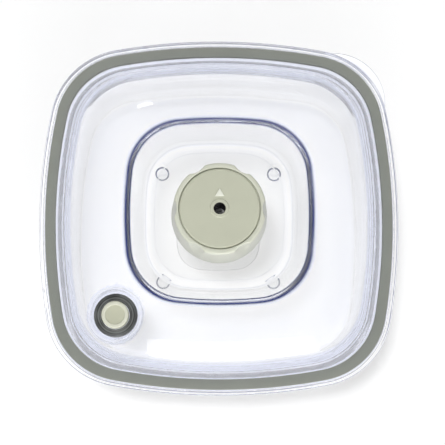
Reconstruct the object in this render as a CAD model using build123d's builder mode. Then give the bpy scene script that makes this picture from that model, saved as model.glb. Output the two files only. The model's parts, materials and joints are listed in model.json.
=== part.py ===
from build123d import *
import math
import os

os.makedirs("parts", exist_ok=True)

# Overall sizes, in millimetres, with heights from the underside of the feet
lid_width = 180.0
container_height = 46.5
crest_rise = 11.0
recess_depth = 17.5

# Bowed square that every level of the canister follows, as shares of its half width
side_radius_share = 4.5
corner_radius_share = 0.6

# Container
container_wall = 2.2
base_thickness = 2.4
wall_draft = 7.7
rim_thickness = 2.2
rim_reach = 6.4
base_corner = 6.0
base_corner_inside = 4.5
foot_height = 1.2
foot_radius = 3.75
foot_spacing = 61.0
base_panel_width = 45.0
base_panel_depth = 0.5

# Lid
lid_wall = 2.2
skirt_wall = 1.8
skirt_drop = 1.5
skirt_gap = 0.3
plug_wall = 2.2
plug_depth = 4.5
plug_gap = 0.9
gutter_depth = 3.4
crest_width = 2.2
crest_round = 0.7
dome_run_shares = (0.0, 0.12, 0.34, 0.64, 1.0)
dome_rise_shares = (0.0, 0.30, 0.64, 0.90, 1.0)
shell_run_share = 0.7
shell_rise_share = 0.9
finger_gap = 12.9
recess_slope_run = 7.1
recess_rim = 4.6
recess_step = 0.4
tab_reach = 4.7
tab_corner = 26.0
tab_thickness = 1.6

# Lid gasket
gasket_thickness = 2.3
gasket_width = 5.1
gasket_inset = 0.7
gasket_key_width = 2.0
gasket_key_height = 0.9
gasket_bead_groove = 1.4
gasket_bead_depth = 0.5
key_clearance = 0.1

# Knob
knob_radius = 24.2
knob_height = 21.9
knob_draft = 4.0
knob_lift = 0.6
knob_wall = 6.2
knob_edge_round = 1.2
knob_deck = 2.2
face_margin = 2.9
face_thickness = 2.0
face_groove = 0.4
scoop_count = 6
scoop_radius = 8.0
scoop_bite = 1.7
scoop_foot = 4.0
port_boss_radius = 4.4
port_boss_height = 0.5
port_mouth_radius = 2.95
port_lip = 1.0
arrow_width = 4.7
arrow_length = 4.0
arrow_height = 0.4
arrow_distance = 7.9

# Hose port seal
port_bore_radius = 2.5
port_seal_wall = 1.4
port_seal_length = 13.3
seal_clearance = 0.1

# Selector valve: rotor, seat and spindle
rotor_thickness = 3.5
rotor_tube_radius = 6.0
rotor_passage_radius = 2.0
seat_thickness = 2.0
seat_clearance = 0.2
seat_ring_wall = 1.6
seat_ring_gap = 2.2
seat_ring_height = 6.0
port_circle_share = 0.58
port_radius = 1.6
rotor_groove_depth = 2.2
position_angle = 120.0
spindle_radius = 3.0
spindle_clearance = 0.06
spindle_boss_wall = 1.9
spindle_boss_height = 3.8
spindle_tail = 1.0
oring_wire_radius = 0.45
oring_groove_width = 1.3
oring_sides = 8
spring_length = 5.5
spring_wire_radius = 0.35
spring_turns = 4
spring_clearance = 0.5
spring_sides = 5
washer_reach = 2.6
washer_thickness = 0.8
clip_thickness = 0.8
clip_reach = 1.9
clip_bite = 0.8
clip_mouth = 3.4
clip_clearance = 0.05

# Knob screws
knob_screw_count = 3
screw_shank_radius = 1.1
screw_head_radius = 2.1
screw_head_height = 1.3
screw_length = 8.0
screw_boss_radius = 2.6
screw_pilot_clearance = 0.05
screw_hole_clearance = 0.25

# Check valve and the housing under the recess
pocket_inner_radius = 4.8
pocket_wall = 1.2
pocket_depth = 4.4
valve_plate_thickness = 1.5
valve_plate_clearance = 0.05
flow_hole_count = 4
flow_hole_radius = 0.6
flow_hole_circle = 2.6
umbrella_radius = 4.0
umbrella_thickness = 0.7
umbrella_stem_radius = 0.9
umbrella_barb_radius = 1.35
umbrella_barb_height = 1.0
housing_room = 0.9
housing_wall = 1.6
housing_gap = 1.0
housing_bevel = 1.2
housing_screw_inset = 1.7
housing_screw_length = 8.5
housing_screw_head_depth = 1.5
housing_post_height = 2.6
screen_margin = 2.4
screen_thickness = 0.7
screen_ledge = 0.9
screen_clearance = 0.1
screen_hole_radius = 0.8
screen_ring_counts = (1, 6, 12)
screen_edge = 2.0

# Release valve in its well by the corner
well_gap = 1.2
well_wall = 1.6
well_margin = 1.1
well_floor_rise = 1.9
well_height = 3.0
grommet_width = 3.7
grommet_thickness = 3.0
grommet_round = 0.9
button_radius = 6.7
button_height = 5.5
button_round = 0.8
button_wall = 1.5
button_top = 2.0
button_dish_radius = 5.0
button_dish_depth = 0.7
button_clearance = 0.4
button_travel = 2.0
stem_radius = 2.2
stem_clearance = 0.05
vent_count = 3
vent_radius = 0.7
release_wire_radius = 0.3
release_spring_side = 0.6
release_spring_turns = 3
release_spring_gap = 0.1
release_seal_cover = 2.2
release_seal_thickness = 1.8
stem_tail = 1.0

# Allowances shared by the cuts
cut_over = 1.0

half_width = lid_width / 2
skirt_inner = half_width - skirt_wall
rim_half = skirt_inner - skirt_gap
mouth_half = rim_half - rim_reach
gasket_outer = rim_half - gasket_inset
gasket_inner = gasket_outer - gasket_width
gasket_middle = (gasket_outer + gasket_inner) / 2
plug_outer = mouth_half - container_wall - plug_gap
plug_inner = plug_outer - plug_wall
base_run = (container_height - foot_height) * math.tan(math.radians(wall_draft))
base_half = mouth_half - base_run

lid_under = container_height + gasket_thickness
lid_top = lid_under + lid_wall
gutter_level = lid_top - gutter_depth
crest_level = lid_top + crest_rise
floor_level = crest_level - recess_depth
floor_under = floor_level - lid_wall

knob_top_radius = knob_radius - knob_height * math.tan(math.radians(knob_draft))
face_radius = knob_top_radius - face_margin
floor_half = knob_radius + finger_gap
crest_inner = floor_half + recess_slope_run
crest_outer = crest_inner + crest_width


def soft_square(half, mode=Mode.ADD):
    """Add a square with bowed sides and round corners, eight tangent arcs, to the open sketch."""
    side_radius = side_radius_share * half
    corner_radius = corner_radius_share * half
    back = side_radius - half
    reach = side_radius - corner_radius
    centre = (math.sqrt(2 * reach**2 - back**2) - back) / 2
    joint_x = side_radius * (centre + back) / reach - back
    joint_y = side_radius * centre / reach
    middle = centre + corner_radius * math.sqrt(0.5)
    side = (Vector(joint_x, -joint_y), Vector(half, 0), Vector(joint_x, joint_y))
    corner = (Vector(joint_x, joint_y), Vector(middle, middle), Vector(joint_y, joint_x))
    with BuildLine() as outline:
        for quarter in range(4):
            ThreePointArc(*[point.rotate(Axis.Z, 90 * quarter) for point in side])
            ThreePointArc(*[point.rotate(Axis.Z, 90 * quarter) for point in corner])
    make_face(outline.edges(), mode=mode)


def corner_distance(half):
    """Return how far the outline's corner stands from the centre, along the diagonal."""
    side_radius = side_radius_share * half
    corner_radius = corner_radius_share * half
    back = side_radius - half
    centre = (math.sqrt(2 * (side_radius - corner_radius) ** 2 - back**2) - back) / 2
    return centre * math.sqrt(2) + corner_radius


def square_ring(outer, inner, low, high, mode=Mode.ADD):
    """Add or cut a ring of the bowed square between two heights of the open part."""
    with BuildSketch(Plane.XY.offset(low)) as ring:
        soft_square(outer)
        soft_square(inner, Mode.SUBTRACT)
    extrude(ring.sketch, amount=high - low, mode=mode)


def square_plate(half, low, high, mode=Mode.ADD):
    """Add or cut a plate of the bowed square between two heights of the open part."""
    with BuildSketch(Plane.XY.offset(low)) as plate:
        soft_square(half)
    extrude(plate.sketch, amount=high - low, mode=mode)


def square_loft(levels, mode=Mode.ADD, ruled=False):
    """Add or cut a loft through bowed squares, each a half width and a height."""
    sections = []
    for half, height in levels:
        with BuildSketch(Plane.XY.offset(height)) as section:
            soft_square(half)
        sections.append(section.sketch)
    loft(sections, ruled=ruled, mode=mode)


def disc(radius, low, high, centre=(0.0, 0.0), mode=Mode.ADD):
    """Add or cut a round disc between two heights of the open part."""
    with BuildSketch(Plane.XY.offset(low)) as circle:
        with Locations(centre):
            Circle(radius)
    extrude(circle.sketch, amount=high - low, mode=mode)


def tube(outer, inner, low, high, centre=(0.0, 0.0), mode=Mode.ADD):
    """Add or cut a round tube between two heights of the open part."""
    with BuildSketch(Plane.XY.offset(low)) as ring:
        with Locations(centre):
            Circle(outer)
            Circle(inner, mode=Mode.SUBTRACT)
    extrude(ring.sketch, amount=high - low, mode=mode)


def disc_pattern(radius, low, high, circle, count, start, centre=(0.0, 0.0), mode=Mode.ADD):
    """Add or cut a ring of round discs about a centre of the open part."""
    with BuildSketch(Plane.XY.offset(low)) as pattern:
        with Locations(centre):
            with PolarLocations(circle, count, start_angle=start):
                Circle(radius)
    extrude(pattern.sketch, amount=high - low, mode=mode)


def retaining_clip(shaft_radius, low, centre=(0.0, 0.0)):
    """Add an open clip that grips a shaft's groove to the open part."""
    grip = shaft_radius - clip_bite + clip_clearance
    outer = shaft_radius + clip_reach
    with BuildSketch(Plane.XY.offset(low)) as clip:
        with Locations(centre):
            Circle(outer)
            Circle(grip, mode=Mode.SUBTRACT)
            with Locations((outer / 2, 0)):
                Rectangle(outer, min(clip_mouth, 2 * grip), mode=Mode.SUBTRACT)
    extrude(clip.sketch, amount=clip_thickness)


def least_gap(points, wire_radius, per_turn):
    """Return the least gap between neighbouring turns of a wire, measured on points along it."""
    apart = 3 * per_turn // 4
    gaps = []
    for index, point in enumerate(points):
        gaps.extend((other - point).length for other in points[index + apart :])
    return min(gaps) - 2 * wire_radius


def coil_spring(coil_radius, wire_radius, turns, low, high, centre=(0.0, 0.0)):
    """Add a compression spring of quarter-turn arcs with short straight tails to the open part."""
    steps = 4 * turns
    climb = (high - low - 2 * wire_radius) / steps

    def place(step):
        angle = math.radians(90 * step)
        x = centre[0] + coil_radius * math.cos(angle)
        y = centre[1] + coil_radius * math.sin(angle)
        return Vector(x, y, low + wire_radius + climb * step)

    tail = Vector(0, 2 * wire_radius, 0)
    with BuildLine() as path:
        Line(place(0) - tail, place(0))
        for step in range(steps):
            ThreePointArc(place(step), place(step + 0.5), place(step + 1))
        Line(place(steps), place(steps) + tail)
    with BuildSketch(Plane(origin=place(0) - tail, z_dir=tail)) as wire_section:
        RegularPolygon(wire_radius, spring_sides)
    sweep(wire_section.sketch, path=path.wire())
    points = [place(index / 4) for index in range(4 * steps + 1)]
    print("spring, least gap between turns:", round(least_gap(points, wire_radius, 16), 3))


def finish(builder, label):
    """Label a finished piece and write its STEP file."""
    builder.part.label = label
    export_step(builder.part, "parts/" + label + ".step")


# Container: drafted wall, flat rim, rounded base with four feet and a panel
rim_under = container_height - rim_thickness
base_top = foot_height + base_thickness
inner_base_half = base_half - container_wall + base_thickness * math.tan(math.radians(wall_draft))
with BuildPart() as container_hollow:
    square_loft([(inner_base_half, base_top), (mouth_half - container_wall, container_height)], ruled=True)
    fillet(container_hollow.faces().sort_by(Axis.Z)[0].edges(), base_corner_inside)

with BuildPart() as container:
    square_loft([(base_half, foot_height), (mouth_half, container_height)], ruled=True)
    fillet(container.faces().sort_by(Axis.Z)[0].edges(), base_corner)
    square_plate(rim_half, rim_under, container_height)
    add(container_hollow.part, mode=Mode.SUBTRACT)
    with BuildSketch(Plane.XY):
        with GridLocations(foot_spacing, foot_spacing, 2, 2):
            Circle(foot_radius)
    extrude(amount=foot_height + base_thickness / 2)
    square_plate(base_panel_width / 2, foot_height, foot_height + base_panel_depth, Mode.SUBTRACT)
finish(container, "container")

# Places under the lid that its shell, the valve and the housing share
seat_ring_outer = knob_radius - knob_wall - seat_ring_gap
seat_ring_inner = seat_ring_outer - seat_ring_wall
seat_radius = seat_ring_inner - seat_clearance
rotor_radius = seat_radius - seat_clearance
port_circle_radius = rotor_radius * port_circle_share
spindle_bore = spindle_radius + spindle_clearance
spindle_boss_radius = spindle_bore + spindle_boss_wall
spindle_boss_under = floor_under - spindle_boss_height
pocket_offset = spindle_boss_radius + pocket_inner_radius + pocket_wall
pocket_centre = (0.0, pocket_offset)
pocket_under = floor_under - pocket_depth
vent_angle = math.radians(90 + position_angle)
vent_port_x = port_circle_radius * math.cos(vent_angle)
vent_port_y = port_circle_radius * math.sin(vent_angle)
spring_under = spindle_boss_under - spring_length
washer_under = spring_under - washer_thickness
clip_under = washer_under - clip_thickness
spindle_end = clip_under - spindle_tail
housing_floor = spindle_end - housing_gap
housing_under = housing_floor - housing_wall
post_top = housing_floor + housing_post_height
housing_screw_start = 30.0
housing_inner = pocket_offset + pocket_inner_radius + pocket_wall + housing_room
housing_radius = housing_inner + housing_wall
housing_screw_circle = housing_inner - screw_boss_radius - housing_screw_inset
screen_radius = housing_screw_circle - screw_boss_radius - screen_margin
screen_ring_pitch = (screen_radius - screen_edge - screen_hole_radius) / (len(screen_ring_counts) - 1)

# Release valve places, on the diagonal towards -X -Y
button_guide = button_radius + button_clearance
grommet_radius = button_guide + grommet_width
well_radius = grommet_radius + well_gap
well_outer = well_radius + well_wall
well_distance = corner_distance(plug_inner) - well_outer - well_margin
well_x = -well_distance * math.sqrt(0.5)
well_centre = (well_x, well_x)
well_floor = gutter_level + well_floor_rise
well_floor_under = well_floor - lid_wall
well_top = well_floor + grommet_thickness + well_height / 2
stem_bore = stem_radius + stem_clearance
release_spring_radius = button_radius - button_wall - release_wire_radius - release_spring_side
vent_circle = (stem_bore + release_spring_radius - release_wire_radius) / 2
release_seal_radius = vent_circle + vent_radius + release_seal_cover

# Lid shell: skirt, plug wall, dome, recess, release well and the bosses under the recess
shell_run = lid_wall * shell_run_share
shell_drop = lid_wall * shell_rise_share
dome_run = plug_inner - crest_outer
dome_rise = crest_level - gutter_level
dome_levels = []
for run_share, rise_share in zip(dome_run_shares, dome_rise_shares):
    dome_levels.append((plug_inner - dome_run * run_share, gutter_level + dome_rise * rise_share))
hollow_levels = [(half - shell_run, height - shell_drop) for half, height in dome_levels]
recess_slope = recess_slope_run / recess_depth

with BuildPart() as dome:
    square_plate(plug_inner, gutter_level - shell_drop, gutter_level)
    square_loft(dome_levels)

with BuildPart() as collar:
    disc(well_outer, well_floor_under, crest_level, well_centre)
    add(dome.part, mode=Mode.INTERSECT)

with BuildPart() as lid_shell:
    add(dome.part)
    square_loft(hollow_levels, Mode.SUBTRACT)
    square_loft(
        [
            (floor_half + lid_wall, floor_under),
            (crest_outer, crest_level - lid_wall / 2),
        ],
        ruled=True,
    )
    square_loft(
        [
            (floor_half, floor_level),
            (crest_inner + cut_over * recess_slope, crest_level + cut_over),
        ],
        Mode.SUBTRACT,
        ruled=True,
    )
    square_plate(floor_half - recess_rim, floor_level - recess_step, floor_level, Mode.SUBTRACT)
    square_ring(plug_outer, plug_inner - shell_run, container_height - plug_depth, gutter_level)
    square_ring(plug_outer, plug_inner, gutter_level, lid_top)
    square_ring(half_width, plug_outer - plug_wall / 2, lid_under, lid_top)
    square_ring(half_width, skirt_inner, container_height - skirt_drop, lid_top)
    key_outer = gasket_middle + gasket_key_width / 2 + key_clearance
    key_inner = gasket_middle - gasket_key_width / 2 - key_clearance
    square_ring(key_outer, key_inner, lid_under, lid_under + gasket_key_height + key_clearance, Mode.SUBTRACT)
    tab_low = container_height - skirt_drop
    tab_half = half_width - tab_reach
    with BuildSketch(Plane.XY.offset(tab_low)):
        with BuildLine():
            FilletPolyline((0, tab_half), (tab_half, tab_half), (tab_half, 0), radius=tab_corner)
            Polyline((tab_half, 0), (0, 0), (0, tab_half))
        make_face()
        soft_square(skirt_inner, Mode.SUBTRACT)
    extrude(amount=tab_thickness)
    fillet(lid_shell.edges().group_by(Axis.Z)[-1], crest_round)
    # Release well: a collar that is closed against the dome where the dome stands higher
    disc(well_outer, well_floor_under, well_top, well_centre)
    add(collar.part)
    disc(well_radius, well_floor, crest_level, well_centre, Mode.SUBTRACT)
    disc(stem_bore, well_floor_under, well_floor, well_centre, Mode.SUBTRACT)
    disc_pattern(
        vent_radius, well_floor_under, well_floor, vent_circle, vent_count, 0, well_centre, Mode.SUBTRACT
    )
    # Selector seat ring above the floor, and the spindle boss, valve pocket and screw bosses below it
    disc(seat_ring_outer, floor_under, floor_level)
    tube(seat_ring_outer, seat_ring_inner, floor_level, floor_level + seat_ring_height)
    disc(spindle_boss_radius, spindle_boss_under, floor_under)
    tube(pocket_inner_radius + pocket_wall, pocket_inner_radius, pocket_under, floor_under, pocket_centre)
    disc_pattern(
        screw_boss_radius, post_top, floor_under, housing_screw_circle, knob_screw_count, housing_screw_start
    )
    disc_pattern(
        screw_shank_radius + screw_pilot_clearance,
        post_top,
        floor_under,
        housing_screw_circle,
        knob_screw_count,
        housing_screw_start,
        mode=Mode.SUBTRACT,
    )
    disc(spindle_bore, spindle_boss_under, floor_level, mode=Mode.SUBTRACT)
    disc(port_radius, floor_under, floor_level, (0.0, port_circle_radius), Mode.SUBTRACT)
    disc(port_radius, floor_under, floor_level, (vent_port_x, vent_port_y), Mode.SUBTRACT)
finish(lid_shell, "lid_shell")

# Lid gasket: flat ring with a key on top and two sealing beads below
with BuildPart() as lid_gasket:
    square_ring(gasket_outer, gasket_inner, container_height, lid_under)
    square_ring(
        gasket_middle + gasket_key_width / 2,
        gasket_middle - gasket_key_width / 2,
        lid_under,
        lid_under + gasket_key_height,
    )
    square_ring(
        gasket_middle + gasket_bead_groove / 2,
        gasket_middle - gasket_bead_groove / 2,
        container_height,
        container_height + gasket_bead_depth,
        Mode.SUBTRACT,
    )
finish(lid_gasket, "lid_gasket")

# Selector seat: a soft disc with the two ports and a blank third place
seat_top = floor_level + seat_thickness
with BuildPart() as valve_seat:
    disc(seat_radius, floor_level, seat_top)
    disc(spindle_bore + seat_clearance, floor_level, seat_top, mode=Mode.SUBTRACT)
    disc(port_radius, floor_level, seat_top, (0.0, port_circle_radius), Mode.SUBTRACT)
    disc(port_radius, floor_level, seat_top, (vent_port_x, vent_port_y), Mode.SUBTRACT)
finish(valve_seat, "valve_seat")

# Knob heights
knob_under = floor_level + knob_lift
knob_top = knob_under + knob_height
deck_top = knob_top - face_thickness
deck_under = deck_top - knob_deck
boss_top = knob_top + port_boss_height
seal_top = boss_top - port_lip
seal_under = seal_top - port_seal_length
seal_radius = port_bore_radius + port_seal_wall
socket_radius = seal_radius + seal_clearance
rotor_top = seat_top + rotor_thickness
knob_screw_circle = (rotor_tube_radius + rotor_radius) / 2
knob_screw_start = 30.0

# Valve rotor: disc with a face groove, hose tube, screw posts and the spindle
groove_width = 2 * port_radius
oring_groove_radius = spindle_bore - 2 * oring_wire_radius
oring_level = (floor_under + spindle_boss_under) / 2
with BuildPart() as valve_rotor:
    disc(rotor_radius, seat_top, rotor_top)
    disc(rotor_tube_radius, rotor_top, deck_top)
    disc_pattern(
        screw_boss_radius, rotor_top, deck_under, knob_screw_circle, knob_screw_count, knob_screw_start
    )
    disc_pattern(
        screw_shank_radius + screw_pilot_clearance,
        deck_top - screw_length - cut_over,
        deck_under,
        knob_screw_circle,
        knob_screw_count,
        knob_screw_start,
        mode=Mode.SUBTRACT,
    )
    disc(socket_radius, seal_under, deck_top, mode=Mode.SUBTRACT)
    disc(rotor_passage_radius, seat_top, seal_under, mode=Mode.SUBTRACT)
    with BuildSketch(Plane.XY.offset(seat_top)):
        with Locations((0, port_circle_radius / 2)):
            SlotCenterToCenter(port_circle_radius, groove_width, rotation=90)
    extrude(amount=rotor_groove_depth, mode=Mode.SUBTRACT)
    disc(spindle_radius, spindle_end, seat_top)
    tube(
        spindle_radius,
        spindle_radius - clip_bite,
        clip_under,
        washer_under,
        mode=Mode.SUBTRACT,
    )
    tube(
        spindle_radius,
        oring_groove_radius,
        oring_level - oring_groove_width / 2,
        oring_level + oring_groove_width / 2,
        mode=Mode.SUBTRACT,
    )
    chamfer(valve_rotor.faces().sort_by(Axis.Z)[0].edges(), spindle_tail / 3)
finish(valve_rotor, "valve_rotor")

# Ring seal on the spindle, a hair clear of the bore and the groove
with BuildPart() as spindle_oring:
    with BuildSketch(Plane.XZ):
        with Locations((spindle_bore - oring_wire_radius, oring_level)):
            RegularPolygon(oring_wire_radius - key_clearance / 4, oring_sides)
    revolve(axis=Axis.Z)
finish(spindle_oring, "spindle_oring")

# Spring, washer and clip that hold the rotor down on its seat
spring_coil_radius = spindle_radius + spring_clearance + spring_wire_radius
with BuildPart() as spindle_spring:
    coil_spring(
        spring_coil_radius,
        spring_wire_radius,
        spring_turns,
        spring_under,
        spindle_boss_under - release_spring_gap,
    )
finish(spindle_spring, "spindle_spring")

with BuildPart() as spindle_washer:
    tube(spindle_radius + washer_reach, spindle_radius + clip_clearance, washer_under, spring_under)
finish(spindle_washer, "spindle_washer")

with BuildPart() as spindle_clip:
    retaining_clip(spindle_radius, clip_under)
finish(spindle_clip, "spindle_clip")

# Knob grip: drafted skirt with scooped finger places, a deck inside and a seat for the face
scoop_reach = knob_top_radius - scoop_bite
scoop_lean = math.degrees(math.atan2(knob_radius - scoop_reach, knob_height - scoop_foot))
with BuildPart() as knob_grip:
    with BuildSketch(Plane.XZ):
        with BuildLine():
            corners = ((0, knob_under), (knob_radius, knob_under), (knob_top_radius, knob_top), (0, knob_top))
            Polyline(*corners, close=True)
        make_face()
    revolve(axis=Axis.Z)
    fillet(knob_grip.faces().sort_by(Axis.Z)[-1].edges(), knob_edge_round)
    scoop_planes = []
    for index in range(scoop_count):
        turn = Rotation(0, 0, 360 * index / scoop_count)
        scoop_planes.append(turn * Location((scoop_reach, 0, knob_top), (0, -scoop_lean, 0)))
    with Locations(*scoop_planes):
        with Locations((scoop_radius, 0, 0)):
            Cylinder(scoop_radius, 2 * knob_height, mode=Mode.SUBTRACT)
    disc(face_radius + face_groove, deck_top, knob_top, mode=Mode.SUBTRACT)
    disc(knob_radius - knob_wall, knob_under, deck_under, mode=Mode.SUBTRACT)
    disc(rotor_tube_radius + seal_clearance, deck_under, deck_top, mode=Mode.SUBTRACT)
    disc_pattern(
        screw_shank_radius + screw_hole_clearance,
        deck_under,
        deck_top,
        knob_screw_circle,
        knob_screw_count,
        knob_screw_start,
        mode=Mode.SUBTRACT,
    )
finish(knob_grip, "knob_grip")

# Knob face: disc with the port mouth and the raised arrow
with BuildPart() as knob_face:
    disc(face_radius, deck_top, knob_top)
    disc(port_boss_radius, knob_top, boss_top)
    chamfer(knob_face.faces().sort_by(Axis.Z)[-1].edges(), port_boss_height / 2)
    disc(socket_radius, deck_top, seal_top, mode=Mode.SUBTRACT)
    disc(port_mouth_radius, seal_top, boss_top, mode=Mode.SUBTRACT)
    disc_pattern(
        screw_head_radius + screw_hole_clearance,
        deck_top,
        deck_top + screw_head_height + screw_hole_clearance / 2,
        knob_screw_circle,
        knob_screw_count,
        knob_screw_start,
        mode=Mode.SUBTRACT,
    )
    with BuildSketch(Plane.XY.offset(knob_top)):
        with BuildLine():
            tail = arrow_distance - arrow_length / 2
            Polyline((-arrow_width / 2, tail), (arrow_width / 2, tail), (0, tail + arrow_length), close=True)
        make_face()
    extrude(amount=arrow_height)
finish(knob_face, "knob_face")

# Hose port seal: the soft tube that grips a hose tip
with BuildPart() as port_seal:
    tube(seal_radius, port_bore_radius, seal_under, seal_top)
finish(port_seal, "port_seal")

# Knob screws, under the face, one node
with BuildPart() as knob_screws:
    disc_pattern(
        screw_head_radius,
        deck_top,
        deck_top + screw_head_height,
        knob_screw_circle,
        knob_screw_count,
        knob_screw_start,
    )
    disc_pattern(
        screw_shank_radius,
        deck_top - screw_length,
        deck_top,
        knob_screw_circle,
        knob_screw_count,
        knob_screw_start,
    )
finish(knob_screws, "knob_screws")

# Check valve: plate in the pocket and the umbrella that closes its holes
plate_top = pocket_under + valve_plate_thickness
with BuildPart() as valve_plate:
    disc(pocket_inner_radius - valve_plate_clearance, pocket_under, plate_top, pocket_centre)
    disc(
        umbrella_stem_radius + valve_plate_clearance, pocket_under, plate_top, pocket_centre, Mode.SUBTRACT
    )
    disc_pattern(
        flow_hole_radius,
        pocket_under,
        plate_top,
        flow_hole_circle,
        flow_hole_count,
        0,
        pocket_centre,
        Mode.SUBTRACT,
    )
finish(valve_plate, "valve_plate")

with BuildPart() as check_valve:
    disc(umbrella_radius, plate_top, plate_top + umbrella_thickness, pocket_centre)
    chamfer(check_valve.faces().sort_by(Axis.Z)[-1].edges(), umbrella_thickness / 2)
    disc(umbrella_stem_radius, pocket_under, plate_top, pocket_centre)
    disc(umbrella_barb_radius, pocket_under - umbrella_barb_height, pocket_under, pocket_centre)
finish(check_valve, "check_valve")

# Valve housing: cup under the recess, with posts for its screws and a ledge for the screen
screen_seat_radius = screen_radius + screen_clearance
with BuildPart() as valve_housing:
    disc(housing_radius, housing_under, floor_under)
    chamfer(valve_housing.faces().sort_by(Axis.Z)[0].edges(), housing_bevel)
    disc(housing_inner, housing_floor, floor_under, mode=Mode.SUBTRACT)
    disc_pattern(
        screw_boss_radius,
        housing_floor,
        post_top,
        housing_screw_circle,
        knob_screw_count,
        housing_screw_start,
    )
    disc_pattern(
        screw_shank_radius + screw_hole_clearance,
        housing_under,
        post_top,
        housing_screw_circle,
        knob_screw_count,
        housing_screw_start,
        mode=Mode.SUBTRACT,
    )
    disc_pattern(
        screw_head_radius + screw_hole_clearance,
        housing_under,
        housing_under + housing_screw_head_depth,
        housing_screw_circle,
        knob_screw_count,
        housing_screw_start,
        mode=Mode.SUBTRACT,
    )
    disc(screen_radius - screen_ledge, housing_under, housing_floor, mode=Mode.SUBTRACT)
    disc(screen_seat_radius, housing_floor - screen_thickness, housing_floor, mode=Mode.SUBTRACT)
finish(valve_housing, "valve_housing")

with BuildPart() as filter_screen:
    disc(screen_radius, housing_floor - screen_thickness, housing_floor)
    with BuildSketch(Plane.XY.offset(housing_floor - screen_thickness)):
        for ring, count in enumerate(screen_ring_counts):
            with PolarLocations(ring * screen_ring_pitch, count):
                RegularPolygon(screen_hole_radius, 6)
    extrude(amount=screen_thickness, mode=Mode.SUBTRACT)
finish(filter_screen, "filter_screen")

head_level = housing_under + housing_screw_head_depth
with BuildPart() as housing_screws:
    disc_pattern(
        screw_head_radius,
        head_level - screw_head_height,
        head_level,
        housing_screw_circle,
        knob_screw_count,
        housing_screw_start,
    )
    disc_pattern(
        screw_shank_radius,
        head_level,
        head_level + housing_screw_length,
        housing_screw_circle,
        knob_screw_count,
        housing_screw_start,
    )
finish(housing_screws, "housing_screws")

# Release valve: soft grommet, sprung button with its stem, seal, washer and clip under the well
button_under = well_floor + button_travel
button_top_level = button_under + button_height
with BuildPart() as release_grommet:
    tube(grommet_radius, button_guide, well_floor, well_floor + grommet_thickness, well_centre)
    fillet(release_grommet.faces().sort_by(Axis.Z)[-1].edges().sort_by(SortBy.RADIUS)[-1], grommet_round)
    chamfer(release_grommet.faces().sort_by(Axis.Z)[-1].edges().sort_by(SortBy.RADIUS)[0], grommet_round)
finish(release_grommet, "release_grommet")

release_seal_under = well_floor_under - release_seal_thickness
release_washer_under = release_seal_under - washer_thickness
release_clip_under = release_washer_under - clip_thickness
stem_end = release_clip_under - stem_tail
with BuildPart() as release_button:
    disc(button_radius, button_under, button_top_level, well_centre)
    fillet(release_button.faces().sort_by(Axis.Z)[-1].edges(), button_round)
    disc(
        button_radius - button_wall,
        button_under,
        button_top_level - button_top,
        well_centre,
        Mode.SUBTRACT,
    )
    dish_radius = (button_dish_radius**2 + button_dish_depth**2) / (2 * button_dish_depth)
    with Locations((well_x, well_x, button_top_level - button_dish_depth + dish_radius)):
        Sphere(dish_radius, mode=Mode.SUBTRACT)
    disc(stem_radius, stem_end, button_top_level - button_top, well_centre)
    tube(
        stem_radius,
        stem_radius - clip_bite,
        release_clip_under,
        release_washer_under,
        well_centre,
        Mode.SUBTRACT,
    )
finish(release_button, "release_button")

with BuildPart() as release_spring:
    coil_spring(
        release_spring_radius,
        release_wire_radius,
        release_spring_turns,
        well_floor + release_spring_gap,
        button_top_level - button_top - release_spring_gap,
        well_centre,
    )
finish(release_spring, "release_spring")

with BuildPart() as release_seal:
    tube(release_seal_radius, stem_bore, release_seal_under, well_floor_under, well_centre)
finish(release_seal, "release_seal")

with BuildPart() as release_washer:
    tube(stem_radius + washer_reach, stem_bore, release_washer_under, release_seal_under, well_centre)
finish(release_washer, "release_washer")

with BuildPart() as release_clip:
    retaining_clip(stem_radius, release_clip_under, well_centre)
finish(release_clip, "release_clip")
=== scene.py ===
import json
import logging
import math
from dataclasses import dataclass, field
from enum import Enum
from typing import Callable, Optional, Sequence, Union

import bmesh
import bpy
from bpy.types import Material, Mesh, Node, NodeSocket, NodeTree, Object, World
from mathutils import Matrix, Vector


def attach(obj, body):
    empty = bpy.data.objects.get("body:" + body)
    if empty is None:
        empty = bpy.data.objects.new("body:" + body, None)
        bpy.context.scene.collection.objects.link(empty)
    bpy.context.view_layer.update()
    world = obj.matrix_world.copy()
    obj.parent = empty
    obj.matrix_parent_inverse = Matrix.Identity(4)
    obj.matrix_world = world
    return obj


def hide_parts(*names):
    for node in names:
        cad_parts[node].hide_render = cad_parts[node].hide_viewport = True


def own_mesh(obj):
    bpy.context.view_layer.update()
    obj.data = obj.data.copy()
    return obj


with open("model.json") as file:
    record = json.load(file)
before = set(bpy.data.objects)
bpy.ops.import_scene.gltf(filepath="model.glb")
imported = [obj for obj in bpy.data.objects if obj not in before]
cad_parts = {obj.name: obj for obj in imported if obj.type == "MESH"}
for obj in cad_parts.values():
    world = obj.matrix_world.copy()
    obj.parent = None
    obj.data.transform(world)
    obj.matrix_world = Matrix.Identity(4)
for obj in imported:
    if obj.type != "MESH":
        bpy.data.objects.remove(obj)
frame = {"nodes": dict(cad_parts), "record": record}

LOG = logging.getLogger("canister")
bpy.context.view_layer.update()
MM = 0.001
TINY = 1e-6
MIDDLE = (0.0, 0.0)
WELL_PLACE = (-50.99, -50.99)
SCREW_COUNT = 3
SCREW_START = math.radians(30.0)
HOUSING_CIRCLE = 13.56

Number = Union[int, float]
Term = Union["Socket", Number]
Colour = tuple[float, float, float, float]
Place = tuple[float, float]
Value = Union["Socket", Node, NodeSocket, Material, Number, Sequence[float]]


class Body(Enum):
    """The bodies of the frame that pieces ride on."""

    VESSEL = "container"
    LID = "lid"
    KNOB = "knob"
    RELEASE = "release"


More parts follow.
